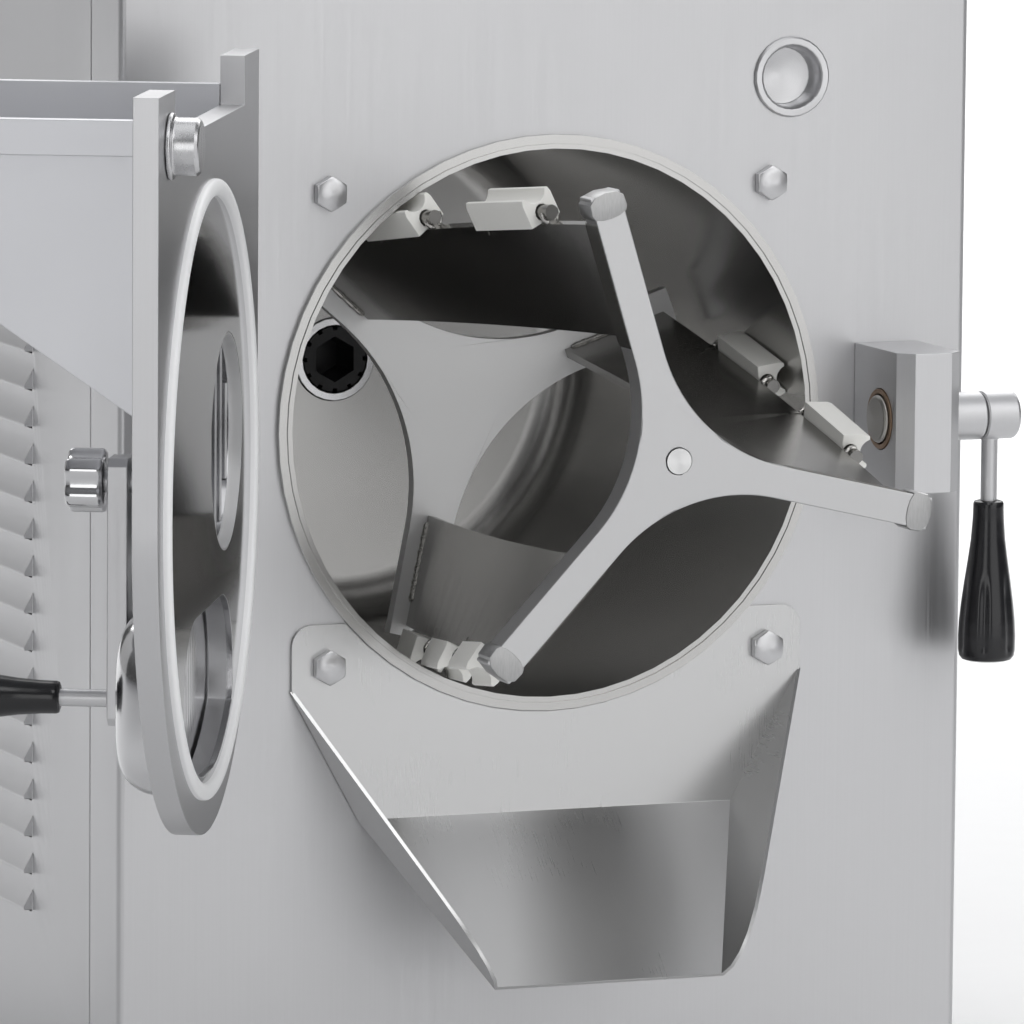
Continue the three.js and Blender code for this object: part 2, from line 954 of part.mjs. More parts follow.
// Strap on the door's outer face, ending in the knuckle.
function hingeStrap() {
  const half = knuckleHeight / 2;
  const strapFace = doorOuter - gap;
  const knuckle = turnedZ(rod(knuckleRadius, -half, half), 24).translate(hingeX, hingeY, 0);
  const leaf = box(hingeX, -doorHalfWidth + 48, strapFace - 10, strapFace, -half, half);
  const pinHole = turnedZ(rod(hingePinRadius + gap, -half - 1, half + 1), 12);
  return cut(join(knuckle, leaf), pinHole.translate(hingeX, hingeY, 0));
}

// ---------------------------------------------------------------- door

function outletOpening(from, to) {
  return common(
    slabY(obround(0, outletZ, outletHalfWidth, outletHalfHeight), from, to, 12),
    slabY(circle(0, 0, outletLimitRadius), from - 1, to + 1, 30),
  );
}

function doorPlate() {
  const shape = new THREE.Shape()
    .absarc(0, 0, doorHalfWidth, Math.PI, 2 * Math.PI, false)
    .lineTo(doorHalfWidth, doorTop)
    .lineTo(notchHalfWidth, doorTop)
    .lineTo(notchHalfWidth, notchFloor)
    .lineTo(-notchHalfWidth, notchFloor)
    .lineTo(-notchHalfWidth, doorTop)
    .lineTo(-doorHalfWidth, doorTop);
  const feed = slabY(circle(feedX, feedZ, feedRadius), doorOuter - 1, doorInner + 1, 20);
  const plate = cut(
    slabY(shape, doorOuter, doorInner, 26),
    feed,
    outletOpening(doorOuter - 1, doorInner + 1),
  );
  const pivot = turnedY(rod(pivotRadius, armInner - gateArmThickness - 16, doorOuter + 2), 16);
  return join(plate, pivot.translate(gatePivotX, 0, gatePivotZ));
}

function doorGasket() {
  const face = doorInner + gap;
  const front = doorInner + gasketHeight;
  return turnedY(
    [
      [gasketInner, face],
      [gasketOuter, face],
      [gasketOuter, front - 1],
      [(gasketOuter + gasketInner) / 2, front],
      [gasketInner, front - 1],
      [gasketInner, face],
    ],
    60,
  );
}

function locatingStud() {
  const face = doorInner + gap;
  return turnedY(
    [
      [0, face],
      [studFlangeRadius, face],
      [studFlangeRadius, face + 2],
      [studRadius, face + 3.2],
      [studRadius, face + studLength - 2],
      [studRadius - 1.6, face + studLength],
      [0, face + studLength],
    ],
    28,
  ).translate(studX, 0, studZ);
}

// The hopper's side profile: Y from the door outwards, Z up.
function hopperProfile(inset, overshoot) {
  const near = doorOuter - gap + (inset ? 1 : 0);
  const far = doorOuter - gap - hopperReach + inset;
  const rise = inset ? inset * 1.25 : 0;
  return outline([
    [near, hopperFloorAtDoor + rise],
    [far, hopperFloorAtFront + rise],
    [far, hopperTop + overshoot],
    [near, hopperTop + overshoot],
  ]);
}

function hopper() {
  const shell = slabX(hopperProfile(0, 0), -hopperHalfWidth, hopperHalfWidth);
  const hollow = slabX(
    hopperProfile(hopperSheet, 2 * hopperRimHeight),
    -hopperHalfWidth + hopperSheet,
    hopperHalfWidth - hopperSheet,
  );
  const rimOut = hopperRimWidth - hopperSheet;
  const near = doorOuter - gap;
  const rim = box(
    -hopperHalfWidth - rimOut,
    hopperHalfWidth + rimOut,
    near - hopperReach - rimOut,
    near,
    hopperTop - 2,
    hopperTop + hopperRimHeight,
  );
  const mouth = slabY(circle(feedX, feedZ, feedRadius), near - throatDepth, near + 2, 20);
  return cut(join(shell, rim), hollow, mouth);
}

// Cup behind the feed hole that leads the mix from the hopper's floor into the cylinder.
function feedThroat() {
  const near = doorOuter - gap;
  const collar = slabY(circle(feedX, feedZ, feedRadius + throatSheet), near - throatDepth, near, 20);
  const inside = slabY(
    circle(feedX, feedZ, feedRadius),
    near - throatDepth + throatSheet,
    near + 1,
    20,
  );
  const above = slabX(hopperProfile(0, 20), -hopperHalfWidth, hopperHalfWidth).translate(0, 0, -gap);
  return cut(collar, inside, above);
}

function feedGrid() {
  const outer = feedRadius - gap;
  const middle = (doorOuter + doorInner) / 2 - 2;
  const frame = turnedY(ring(outer - 3, outer, middle - 2, middle + 2), 32);
  const bars = [];
  for (let i = 0; i < gridBars; i += 1) {
    const x = (i - (gridBars - 1) / 2) * ((2 * outer) / gridBars);
    const half = Math.sqrt((outer - 1.5) ** 2 - (Math.abs(x) + gridBarRadius) ** 2);
    bars.push(turnedZ(rod(gridBarRadius, -half, half), 6).translate(x, middle, 0));
  }
  return join(frame, ...bars).translate(feedX, 0, feedZ);
}

// ---------------------------------------------------------------- outlet gate

// The gate closes the outlet with a ribbed flat face and has a crowned back.
function gatePlate() {
  const layers = 4;
  const slices = [];
  for (let i = 0; i < layers; i += 1) {
    const from = i / layers;
    const shrink = (share) => 26 * (1 - Math.sqrt(1 - share ** 2));
    const inset = shrink((i + 1) / (layers + 0.6)) - shrink(0);
    slices.push(
      slabY(
        obround(0, outletZ, gateHalfWidth - inset, gateHalfHeight - inset),
        gateFace - gateCrown * (from + 1 / layers) + (i + 1 === layers ? gap : 0),
        gateFace - gateCrown * from,
        7,
      ),
    );
  }
  const grooves = [];
  const pitch = (2 * outletHalfWidth) / gateRibs;
  for (let i = 0; i < gateRibs; i += 1) {
    const x = (i + 0.5) * pitch - outletHalfWidth;
    const half = gateHalfHeight + 5;
    const groove = box(x - pitch / 4, x + pitch / 4, gateFace - gateRibDepth, gateFace + 1, -half, half);
    grooves.push(groove.translate(0, 0, outletZ));
  }
  return cut(join(...slices), ...grooves);
}

function gateArm() {
  const half = gateArmWidth / 2;
  const section = outline([
    [-half + 4, -armTail],
    [half - 4, -armTail],
    [half, -armTail + 4],
    [half, armHead - 4],
    [half - 4, armHead],
    [-half + 4, armHead],
    [-half, armHead - 4],
    [-half, -armTail + 4],
  ]);
  const bar = slabY(section, armInner - gateArmThickness, armInner).translate(gatePivotX, 0, gatePivotZ);
  const hole = slabY(circle(gatePivotX, gatePivotZ, pivotRadius + gap), armInner - 40, armInner + 1, 6);
  const face = armInner - gateArmThickness;
  const handle = turnedY(rod(rodRadius, face - 38, face + 2), 12);
  return join(cut(bar, hole), handle.translate(gatePivotX, 0, gateHandleZ));
}

function starKnob() {
  const outlineOf = new THREE.Shape();
  for (let i = 0; i <= 40; i += 1) {
    const angle = (i / 40) * 2 * Math.PI;
    const radius = knobRadius - 1.6 + 1.6 * Math.cos(knobLobes * angle);
    const point = [radius * Math.cos(angle), radius * Math.sin(angle)];
    if (i === 0) outlineOf.moveTo(...point);
    else if (i < 40) outlineOf.lineTo(...point);
  }
  const face = armInner - gateArmThickness - 2;
  const lobes = slabY(outlineOf, face - knobLength, face);
  const hole = slabY(circle(0, 0, pivotRadius + gap), face - 15.5, face + 1, 6);
  return cut(lobes, hole).translate(gatePivotX, 0, gatePivotZ);
}

function gateGrip() {
  const face = armInner - gateArmThickness - gap - 24;
  return grip().rotateX(-Math.PI / 2).translate(gatePivotX, face, gateHandleZ);
}

// ---------------------------------------------------------------- dasher

const armAngle = (arm) => radians(dasherFirstArm - 120 * arm);
const bladeAngle = (arm, fromFront) =>
  armAngle(arm) + radians(dasherTwist) * (fromFront / dasherLength);

// Three straight arms joined by hollow arcs that run tangent into them.
function spiderShape(radius, armWidth, webRadius, turn) {
  const half = armWidth / 2;
  const sin60 = Math.sin(Math.PI / 3);
  const arcRadius = (webRadius * sin60 - half) / (1 - sin60);
  const arcCentre = arcRadius + webRadius;
  const tipAlong = Math.sqrt(radius ** 2 - half ** 2);
  const shape = new THREE.Shape();
  for (let arm = 0; arm < 3; arm += 1) {
    const angle = turn + (arm * 2 * Math.PI) / 3;
    const cos = Math.cos(angle);
    const sin = Math.sin(angle);
    const at = (along, across) => [along * cos - across * sin, along * sin + across * cos];
    if (arm === 0) shape.moveTo(...at(tipAlong, -half));
    else shape.lineTo(...at(tipAlong, -half));
    shape.lineTo(...at(radius, 0));
    shape.lineTo(...at(tipAlong, half));
    const between = angle + Math.PI / 3;
    const middle = [arcCentre * Math.cos(between), arcCentre * Math.sin(between)];
    shape.absarc(
      ...middle,
      arcRadius,
      angle - Math.PI / 2,
      angle - (5 * Math.PI) / 6,
      true,
    );
  }
  return shape;
}

function frontSpider() {
  const plate = slabY(
    spiderShape(spiderRadius, frontArmWidth, frontWebRadius, armAngle(0)),
    dasherFront,
    dasherFront + frontSpiderThickness,
    10,
  );
  const recess = turnedY(
    rod(hubPlugRadius + gap, dasherFront - 1, dasherFront + hubPlugDepth + gap),
    20,
  );
  return cut(plate, recess);
}

function hubPlug() {
  return turnedY(rod(hubPlugRadius, dasherFront - 0.5, dasherFront + hubPlugDepth), 20);
}

function rearSpider() {
  const plate = slabY(
    spiderShape(rearSpiderRadius, rearArmWidth, rearWebRadius, bladeAngle(0, dasherLength)),
    dasherRear - rearSpiderThickness,
    dasherRear,
    10,
  );
  const stub = slabY(hexagon(stubAcrossFlats), dasherRear - 2, dasherRear + stubLength);
  return join(plate, stub);
}

// Closed skin over a row of sections with equal numbers of corners.
function loft(sections) {
  const count = sections[0].length;
  const positions = sections.flat(2);
  const index = [];
  for (let i = 0; i + 1 < sections.length; i += 1) {
    for (let j = 0; j < count; j += 1) {
      const a = i * count + j;
      const b = i * count + ((j + 1) % count);
      index.push(a, a + count, b, b, a + count, b + count);
    }
  }
  const last = (sections.length - 1) * count;
  for (let j = 1; j + 1 < count; j += 1) {
    index.push(0, j, j + 1);
    index.push(last, last + j + 1, last + j);
  }
  const geometry = new THREE.BufferGeometry();
  geometry.setAttribute("position", new THREE.Float32BufferAttribute(positions, 3));
  geometry.setIndex(index);
  return geometry;
}

// Frame of a scraper or its stud bar: X across, Y outwards, Z along the blade's edge.
function edgeFrame(arm, fromFront) {
  const angle = bladeAngle(arm, fromFront);
  const outward = new THREE.Vector3(Math.cos(angle), 0, Math.sin(angle));
  const around = new THREE.Vector3(-Math.sin(angle), 0, Math.cos(angle));
  const slope = (studBarCentre * radians(dasherTwist)) / dasherLength;
  const along = new THREE.Vector3(0, 1, 0).addScaledVector(around, slope).normalize();
  const across = new THREE.Vector3().crossVectors(outward, along);
  return new THREE.Matrix4()
    .makeBasis(across, outward, along)
    .setPosition(0, dasherFront + fromFront, 0);
}

function blade(arm) {
  const start = frontSpiderThickness + gap;
  const end = dasherLength - rearSpiderThickness - gap;
  const sections = [];
  for (let i = 0; i <= bladeSteps; i += 1) {
    const fromFront = start + ((end - start) * i) / bladeSteps;
    const angle = bladeAngle(arm, fromFront);
    const corner = (radius, side) => [
      radius * Math.cos(angle) - (side * bladeThickness * Math.sin(angle)) / 2,
      dasherFront + fromFront,
      radius * Math.sin(angle) + (side * bladeThickness * Math.cos(angle)) / 2,
    ];
    const near = [corner(bladeInner, -1), corner(bladeOuter, -1)];
    const far = [corner(bladeOuter, 1), corner(bladeInner, 1)];
    sections.push([...near, ...far]);
  }
  const bars = scraperStarts[arm].flatMap((from) => {
    const half = scraperLength / 2;
    const middle = edgeFrame(arm, from + half);
    const bar = slabZ(circle(0, studBarCentre, studBarRadius), -half - studBarFront, half + studBarRear, 6);
    const side = bladeThickness / 2;
    const lug = (z0, z1) => box(-side, side, bladeOuter - 6, studBarCentre, z0, z1);
    return [
      bar,
      lug(-half - studBarFront + 2, -half - 2),
      lug(half + 2, half + studBarRear),
    ].map((piece) => piece.applyMatrix4(middle));
  });
  return join(loft(sections), ...bars);
}

function scraper(arm, from) {
  const half = scraperHalfWidth;
  const hornTip = 2;
  const inner = half - 1 - hornTip;
  const arcRadius = (inner ** 2 + scraperHollow ** 2) / (2 * scraperHollow);
  const arcCentre = scraperTip - scraperHollow + arcRadius;
  const sweep = Math.asin(inner / arcRadius);
  const section = new THREE.Shape()
    .moveTo(-half, scraperBase)
    .lineTo(half, scraperBase)
    .lineTo(half, scraperTip - 3)
    .lineTo(half - 1, scraperTip)
    .absarc(0, arcCentre, arcRadius, -Math.PI / 2 + sweep, -Math.PI / 2 - sweep, true)
    .lineTo(1 - half, scraperTip)
    .lineTo(-half, scraperTip - 3);
  section.holes.push(
    new THREE.Path().absarc(0, studBarCentre, studBarRadius + runClearance, 0, 2 * Math.PI, true),
  );
  const length = scraperLength / 2;
  return slabZ(section, -length, length, 6).applyMatrix4(edgeFrame(arm, from + length));
}

// ---------------------------------------------------------------- assembly

const machine = new THREE.Group(); // on the bore's axis, at the panel's front face
machine.name = "machine";

machine.add(
  named("front_panel", frontPanel(), brushed),
  named("left_side_panel", sidePanel(-1), brushed),
  named("right_side_panel", sidePanel(1), brushed),
  named("rear_panel", rearPanel(), brushed),
  named("top_cover", topCover(), brushed),
  named("base_pan", basePan(), brushed),
  named("cable_gland", cableGland(), blackPlastic),
  named("freezing_cylinder", freezingCylinder(), polished),
  named("insulation_jacket", insulationJacket(), foam),
  named("bearing_housing", bearingHousing(), satin),
  named("drive_coupling", driveCoupling(), blackPlastic),
  named("drive_shaft", driveShaft(), satin),
  named("driven_pulley", pulley(drivenPulleyRadius, shaftRadius - 3, 28), aluminium),
  named("drive_belt", driveBelt(), blackRubber),
  named("compressor", compressor(), paintedBlack),
  named("condenser", condenser(), aluminium),
  named("chute", chute(), satin),
  named("flush_cup", flushCup(), polished),
  named("latch_block", latchBlock(), brushed),
  named("latch_bushing", latchBushing(), bronze),
  named("latch_pin", latchPin(), satin),
  named("lever_shaft", leverShaft(), brushed),
);

const motor = placed(new THREE.Group(), motorX, 0, motorZ);
motor.add(
  named("drive_motor", driveMotor(), castGrey),
  named("motor_pulley", motorPulley(), aluminium),
);
machine.add(motor);

const leverGrip = named("lever_grip", grip(), blackPlastic);
leverGrip.position.set(leverRodX, latchAxisY, leverGripTop);
machine.add(leverGrip);

for (const [name, x, z] of boltCorners) {
  const seat = z < 0 ? -2 * gap - chuteSheet : -gap;
  machine.add(placed(named("bolt_" + name, hexBolt(seat), polished), x, 0, z));
}

for (const [name, x] of [
  ["left", left + footInset],
  ["right", right - footInset],
]) {
  for (const [end, y] of [
    ["front", footInset],
    ["rear", cabinetDepth - footInset],
  ]) {
    machine.add(placed(named("foot_" + end + "_" + name, foot(), blackRubber), x, y, bottom));
  }
}

const dasher = new THREE.Group();
dasher.add(
  named("front_spider", frontSpider(), satin),
  named("rear_spider", rearSpider(), satin),
  named("hub_plug", hubPlug(), whitePlastic),
);
let scraperNumber = 0;
for (let arm = 0; arm < 3; arm += 1) {
  dasher.add(named("blade_" + (arm + 1), blade(arm), darkSteel));
  for (const from of scraperStarts[arm]) {
    scraperNumber += 1;
    dasher.add(named("scraper_" + scraperNumber, scraper(arm, from), whitePlastic));
  }
}
machine.add(dasher);

// The door's pieces are drawn with it shut, then swung open about the hinge.
const doorPieces = placed(new THREE.Group(), -hingeX, -hingeY, 0);
doorPieces.add(
  named("door_plate", doorPlate(), polished),
  named("door_gasket", doorGasket(), whiteRubber),
  named("locating_stud", locatingStud(), satin),
  named("hopper", hopper(), satin),
  named("feed_throat", feedThroat(), satin),
  named("feed_grid", feedGrid(), polished),
  named("gate_plate", gatePlate(), polished),
  named("gate_arm", gateArm(), brushed),
  named("gate_grip", gateGrip(), blackPlastic),
  named("star_knob", starKnob(), brushed),
);
for (const [name, z] of [
  ["upper", hingeZ],
  ["lower", -hingeZ],
]) {
  machine.add(placed(named("hinge_bracket_" + name, hingeBracket(), brushed), 0, 0, z));
  doorPieces.add(placed(named("hinge_strap_" + name, hingeStrap(), brushed), 0, 0, z));
}
const door = placed(new THREE.Group(), hingeX, hingeY, 0);
door.rotation.z = -radians(doorOpenAngle);
door.add(doorPieces);
machine.add(door);

machine.updateMatrixWorld(true);
const extent = new THREE.Box3().setFromObject(machine, true);
const middle = extent.getCenter(new THREE.Vector3());
machine.position.set(-middle.x, -middle.y, -extent.min.z);
const part = new THREE.Group();
part.add(machine);

export default part;
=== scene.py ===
"""Looks of the horizontal batch freezer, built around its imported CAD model. Metres, +Z up."""
import json
import math

import bpy
from mathutils import Matrix, Vector


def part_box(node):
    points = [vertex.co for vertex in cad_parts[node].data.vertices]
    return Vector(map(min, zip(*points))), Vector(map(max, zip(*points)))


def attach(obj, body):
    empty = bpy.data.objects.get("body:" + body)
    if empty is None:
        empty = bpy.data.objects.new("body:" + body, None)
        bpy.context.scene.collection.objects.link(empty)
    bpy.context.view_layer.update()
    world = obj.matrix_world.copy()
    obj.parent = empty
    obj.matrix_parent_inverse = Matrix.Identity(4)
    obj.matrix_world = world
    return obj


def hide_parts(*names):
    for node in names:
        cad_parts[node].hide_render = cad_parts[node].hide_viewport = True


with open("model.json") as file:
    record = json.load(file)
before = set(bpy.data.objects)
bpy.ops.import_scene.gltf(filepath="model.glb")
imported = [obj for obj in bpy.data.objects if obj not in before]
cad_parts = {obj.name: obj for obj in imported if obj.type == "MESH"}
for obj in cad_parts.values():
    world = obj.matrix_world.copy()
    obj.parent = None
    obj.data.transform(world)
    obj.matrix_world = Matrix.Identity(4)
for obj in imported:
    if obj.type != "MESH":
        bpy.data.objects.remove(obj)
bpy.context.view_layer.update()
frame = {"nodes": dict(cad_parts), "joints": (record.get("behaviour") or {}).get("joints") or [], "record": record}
nodes = frame["nodes"]

MM = 0.001
RIM_PROUD = 4 * MM

cylinder_low, cylinder_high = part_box("freezing_cylinder")
# The bore's axis where it meets the panel's front face; most places are given from here.
BORE = Vector((
    (cylinder_low.x + cylinder_high.x) / 2,
    cylinder_low.y + RIM_PROUD,
    (cylinder_low.z + cylinder_high.z) / 2,
))

# Sizes of the CAD model, in millimetres from BORE with the door shut
ARM_ANGLES = (107, -13, -133)  # degrees from +X towards +Z, front spider
ARM_STEP = math.radians(120)
BLADE_TWIST = math.radians(32)  # front to rear
DASHER_LENGTH = 340.0
SPIDER_DEPTH = 16
BLADE_OUTER = 133.6
SCRAPER_STARTS = ((62, 176), (92, 208), (50, 142, 240))  # from the dasher's front face
SCRAPER_LENGTH = 56
DOOR_INNER = -8.3
DOOR_OUTER = -21.3
GASKET_INNER, GASKET_OUTER = 151.4, 160.0
GATE_FACE, GATE_CROWN = -21.9, 26.0
GATE_HALF_WIDTH, GATE_HALF_HEIGHT = 94, 50
OUTLET_Z = -104.0
FEED_X, FEED_Z = -62.0, 18.0
FEED_WALL_RADIUS = 56.85
PIVOT_X, PIVOT_Z = 6.0, 4.0
GATE_GRIP_TOP = Vector((6, -84.9, -109))

# ------------------------------------------------------------------ camera and light

CAMERA_FROM_BORE = Vector((-1.7137, -4.3410, 0.5328))
AIM_FROM_BORE = Vector((-0.02168, 0.0, -0.04870))
CAMERA_ROLL = math.radians(0.463)
LENS = 299.5


def make_camera():
    data = bpy.data.cameras.new("camera")
    data.lens = LENS
    data.sensor_width = 36.0
    data.clip_end = 100.0
    camera = bpy.data.objects.new("camera", data)
    bpy.context.collection.objects.link(camera)
    place = BORE + CAMERA_FROM_BORE
    view = (BORE + AIM_FROM_BORE - place).to_track_quat("-Z", "Y").to_matrix().to_4x4()
    camera.matrix_world = Matrix.Translation(place) @ view @ Matrix.Rotation(CAMERA_ROLL, 4, "Z")
    bpy.context.scene.camera = camera


def area_light(name, place, size, power, aim=(0.0, 0.0, 0.0), color=(1.0, 1.0, 1.0)):
    data = bpy.data.lights.new(name, "AREA")
    data.shape = "RECTANGLE"
    data.size, data.size_y = size
    data.energy = power
    data.color = color
    light = bpy.data.objects.new(name, data)
    bpy.context.collection.objects.link(light)
    place = BORE + Vector(place)
    turn = (BORE + Vector(aim) - place).to_track_quat("-Z", "Y").to_matrix().to_4x4()
    light.matrix_world = Matrix.Translation(place) @ turn
    return light


def make_world():
    """A pale studio: white where the camera looks past the machine, softly graded elsewhere."""
    world = bpy.data.worlds.new("studio")
    bpy.context.scene.world = world
    world.use_nodes = True
    tree = world.node_tree
    tree.nodes.clear()
    out = tree.nodes.new("ShaderNodeOutputWorld")
    mix = tree.nodes.new("ShaderNodeMixShader")
    seen = tree.nodes.new("ShaderNodeBackground")
    seen.inputs["Color"].default_value = (1, 1, 1, 1)
    seen.inputs["Strength"].default_value = 1.05
    around = tree.nodes.new("ShaderNodeBackground")
    around.inputs["Strength"].default_value = 1.0
    path = tree.nodes.new("ShaderNodeLightPath")
    place = tree.nodes.new("ShaderNodeTexCoord")
    split = tree.nodes.new("ShaderNodeSeparateXYZ")
    ramp = tree.nodes.new("ShaderNodeValToRGB")
    spread = tree.nodes.new("ShaderNodeMapRange")
    spread.inputs["From Min"].default_value = -0.6
    spread.inputs["From Max"].default_value = 1.0
    ramp.color_ramp.elements[0].color = (0.03, 0.03, 0.03, 1)
    ramp.color_ramp.elements[1].color = (0.32, 0.325, 0.34, 1)
    horizon = ramp.color_ramp.elements.new(0.48)
    horizon.color = (0.085, 0.085, 0.085, 1)
    link = tree.links.new
    link(place.outputs["Generated"], split.inputs[0])
    link(split.outputs["Z"], spread.inputs["Value"])
    link(spread.outputs["Result"], ramp.inputs["Fac"])
    link(ramp.outputs["Color"], around.inputs["Color"])
    link(path.outputs["Is Camera Ray"], mix.inputs["Fac"])
    link(around.outputs[0], mix.inputs[1])
    link(seen.outputs[0], mix.inputs[2])
    link(mix.outputs[0], out.inputs["Surface"])


# ------------------------------------------------------------------ material kit


class Nodes:
    """A small builder for one material's node tree."""

    def __init__(self, name):
        self.material = bpy.data.materials.new(name)
        self.material.use_nodes = True
        self.tree = self.material.node_tree
        self.shader = self.tree.nodes["Principled BSDF"]
        self.place = self.add("ShaderNodeTexCoord").outputs["Object"]

    def add(self, kind, **settings):
        node = self.tree.nodes.new(kind)
        for key, value in settings.items():
            setattr(node, key, value)
        return node

    def link(self, source, target):
        self.tree.links.new(source, target)

    def set(self, **values):
        for key, value in values.items():
            self.shader.inputs[key.replace("_", " ")].default_value = value

    def stretched(self, scale, turn=(0.0, 0.0, 0.0), source=None):
        mapping = self.add("ShaderNodeMapping")
        mapping.inputs["Scale"].default_value = scale
        mapping.inputs["Rotation"].default_value = turn
        self.link(source or self.place, mapping.inputs["Vector"])
        return mapping.outputs["Vector"]

    def noise(self, vector, scale=1.0, detail=4.0, roughness=0.6):
        node = self.add("ShaderNodeTexNoise")
        node.inputs["Scale"].default_value = scale
        node.inputs["Detail"].default_value = detail
        node.inputs["Roughness"].default_value = roughness
        self.link(vector, node.inputs["Vector"])
        return node.outputs["Fac"]

    def range(self, value, low, high, source_low=0.3, source_high=0.7):
        node = self.add("ShaderNodeMapRange")
        node.inputs["From Min"].default_value = source_low
        node.inputs["From Max"].default_value = source_high
        node.inputs["To Min"].default_value = low
        node.inputs["To Max"].default_value = high
        self.link(value, node.inputs["Value"])
        return node.outputs["Result"]

    def math(self, operation, first, second):
        node = self.add("ShaderNodeMath", operation=operation)
        for slot, value in zip(node.inputs, (first, second)):
            if isinstance(value, (int, float)):
                slot.default_value = value
            else:
                self.link(value, slot)
        return node.outputs[0]

    def between(self, value, dark, light):
        ramp = self.add("ShaderNodeValToRGB")
        ramp.color_ramp.elements[0].color = (*dark, 1)
        ramp.color_ramp.elements[1].color = (*light, 1)
        self.link(value, ramp.inputs["Fac"])
        return ramp.outputs["Color"]

    def tint(self, tone, color):
        """Base colour from half to one and a half times `color` as `tone` goes from 0 to 1."""
        self.link(self.between(tone, shade(color, 0.5), shade(color, 1.5)), self.shader.inputs["Base Color"])

    def bump(self, height, distance, strength=1.0):
        node = self.add("ShaderNodeBump")
        node.inputs["Distance"].default_value = distance
        node.inputs["Strength"].default_value = strength
        self.link(height, node.inputs["Height"])
        self.link(node.outputs["Normal"], self.shader.inputs["Normal"])


def shade(color, factor):
    return tuple(min(1.0, channel * factor) for channel in color)


def grained_steel(name, color, roughness, grain, amount=0.02, depth=0.001 * MM, turn=(0, 0, 0),
                  metallic=1.0, blotch=0.012):
    """Steel with a straight grain; `grain` is how fine it is along X, Y and Z, per metre."""
    made = Nodes(name)
    made.set(Metallic=metallic)
    streaks = made.noise(made.stretched(grain, turn), detail=3.0)
    cloud = made.noise(made.stretched((9, 9, 9)), detail=3.0)
    tone = made.math("ADD", made.range(streaks, -amount, amount),
                     made.range(cloud, 0.5 - blotch, 0.5 + blotch))
    made.tint(tone, color)
    vary = min(0.05, 3 * amount)
    rough = made.math("ADD", made.range(streaks, -vary, vary),
                      made.range(cloud, roughness - 0.02, roughness + 0.02))
    made.link(rough, made.shader.inputs["Roughness"])
    made.bump(streaks, depth)
    return made.material


def turned_steel(name, color, roughness, centre, axis, anisotropy=0.75):
    """Steel faced on a lathe: fine rings and a conic sheen about `centre`."""
    made = Nodes(name)
    made.set(Metallic=1.0, Anisotropic=anisotropy, Roughness=roughness)
    offset = made.add("ShaderNodeVectorMath", operation="SUBTRACT")
    made.link(made.place, offset.inputs[0])
    offset.inputs[1].default_value = centre
    around = made.add("ShaderNodeVectorMath", operation="CROSS_PRODUCT")
    around.inputs[0].default_value = axis
    made.link(offset.outputs[0], around.inputs[1])
    unit = made.add("ShaderNodeVectorMath", operation="NORMALIZE")
    made.link(around.outputs[0], unit.inputs[0])
    made.link(unit.outputs[0], made.shader.inputs["Tangent"])
    reach = made.add("ShaderNodeVectorMath", operation="LENGTH")
    made.link(around.outputs[0], reach.inputs[0])
    ring = made.add("ShaderNodeTexNoise", noise_dimensions="1D")
    ring.inputs["Scale"].default_value = 2600
    made.link(reach.outputs["Value"], ring.inputs["W"])
    tone = made.range(ring.outputs["Fac"], 0.47, 0.53)
    made.tint(tone, color)
    made.bump(ring.outputs["Fac"], 0.0006 * MM)
    return made.material


def disc_steel(name, color, centre, normal, radius):
    """Brushed plate, polished to a mirror within `radius` of `centre` on the face that `normal` leaves."""
    made = Nodes(name)
    made.set(Metallic=1.0)
    offset = made.add("ShaderNodeVectorMath", operation="SUBTRACT")
    made.link(made.place, offset.inputs[0])
    offset.inputs[1].default_value = centre
    reach = made.add("ShaderNodeVectorMath", operation="LENGTH")
    made.link(offset.outputs[0], reach.inputs[0])
    depth = made.add("ShaderNodeVectorMath", operation="DOT_PRODUCT")
    made.link(offset.outputs[0], depth.inputs[0])
    depth.inputs[1].default_value = normal
    outside = made.math("MAXIMUM", made.range(reach.outputs["Value"], 0.0, 1.0, radius, radius + 1 * MM),
                        made.range(depth.outputs["Value"], 1.0, 0.0, -4 * MM, -2 * MM))
    streaks = made.noise(made.stretched((900, 900, 12)), detail=3.0)
    cloud = made.noise(made.stretched((9, 9, 9)), detail=3.0)
    tone = made.math("ADD", made.range(streaks, -0.008, 0.008), made.range(cloud, 0.49, 0.51))
    made.tint(tone, color)
    rough = made.math("ADD", made.math("MULTIPLY", outside, 0.26), made.range(cloud, 0.085, 0.105))
    made.link(rough, made.shader.inputs["Roughness"])
    made.bump(streaks, 0.00004 * MM)
    return made.material


def lathe_steel(name, color, roughness, amount, depth):
    """Polished steel turned about the bore's axis: faint rings, no cross grain."""
    made = Nodes(name)
    made.set(Metallic=1.0)
    offset = made.add("ShaderNodeVectorMath", operation="SUBTRACT")
    made.link(made.place, offset.inputs[0])
    offset.inputs[1].default_value = BORE
    split = made.add("ShaderNodeSeparateXYZ")
    made.link(offset.outputs[0], split.inputs[0])
    across = made.math("ADD", made.math("POWER", split.outputs["X"], 2.0),
                       made.math("POWER", split.outputs["Z"], 2.0))
    joined = made.add("ShaderNodeCombineXYZ")
    made.link(made.math("SQRT", across, 0.0), joined.inputs[0])
    made.link(split.outputs["Y"], joined.inputs[1])
    rings = made.noise(made.stretched((700, 700, 1), source=joined.outputs[0]), detail=3.0)
    cloud = made.noise(made.stretched((9, 9, 9)), detail=2.0)
    tone = made.math("ADD", made.range(rings, -amount, amount), made.range(cloud, 0.49, 0.51))
    made.tint(tone, color)
    made.link(made.range(cloud, roughness - 0.02, roughness + 0.02), made.shader.inputs["Roughness"])
    made.bump(rings, depth)
    return made.material


